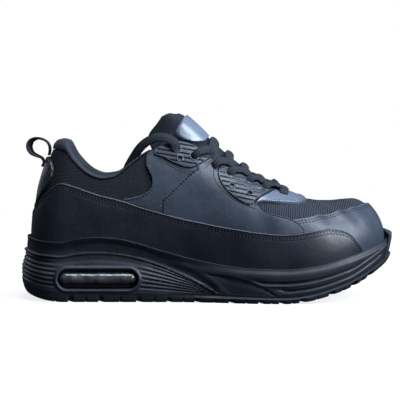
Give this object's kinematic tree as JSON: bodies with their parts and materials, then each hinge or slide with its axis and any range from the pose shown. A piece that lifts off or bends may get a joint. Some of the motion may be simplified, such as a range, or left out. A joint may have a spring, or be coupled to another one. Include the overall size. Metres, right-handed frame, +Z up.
{
  "type": "safety sneaker",
  "caption": "Low safety sneaker for the right foot, laced, with a mesh and leather upper, a covered toe, a cupped midsole with an air window each side and a lugged sole that climbs the toe.",
  "frame": {"origin": "on the flat underside of a lug at the middle of the sole's length, in the plane that the heel and the forefoot stand on", "axes": "+X along the sole towards the toe, +Y towards the inner side of this right shoe, +Z up from the floor"},
  "size_m": [0.2998, 0.107, 0.1499],
  "materials": {
    "mesh_cloth": "fine black ribbed mesh",
    "leather": "smooth black synthetic leather, satin",
    "counter_leather": "deep black synthetic leather, satin",
    "plate_tpu": "moulded, with fine grooves",
    "lining": "black knit",
    "midsole_foam": "matt moulded foam with ribs",
    "outsole_rubber": "matt rubber",
    "air_cell": "glossy dark",
    "lace_webbing": "flat woven charcoal",
    "loop_webbing": "black webbing"
  },
  "bodies": {
    "root": {"outsole": "outsole_rubber", "midsole": "midsole_foam", "air_cell_outer": "air_cell", "air_cell_inner": "air_cell", "insole": "lining", "upper": "mesh_cloth", "mudguard": "counter_leather", "toe_cap": "leather", "heel_tab": "counter_leather", "throat_piece": "leather", "quarter_outer": "leather", "quarter_inner": "leather", "plate_upper_outer": "plate_tpu", "plate_upper_inner": "plate_tpu", "plate_lower_outer": "plate_tpu", "plate_lower_inner": "plate_tpu", "tongue": "mesh_cloth", "tongue_patch": "leather", "collar_padding": "lining", "pull_loop": "loop_webbing", "lace_crossing_1": "lace_webbing", "lace_crossing_2": "lace_webbing", "lace_crossing_3": "lace_webbing", "lace_crossing_4": "lace_webbing", "lace_crossing_5": "lace_webbing", "lace_bar": "lace_webbing", "lace_end": "lace_webbing"}
  },
  "joints": []
}
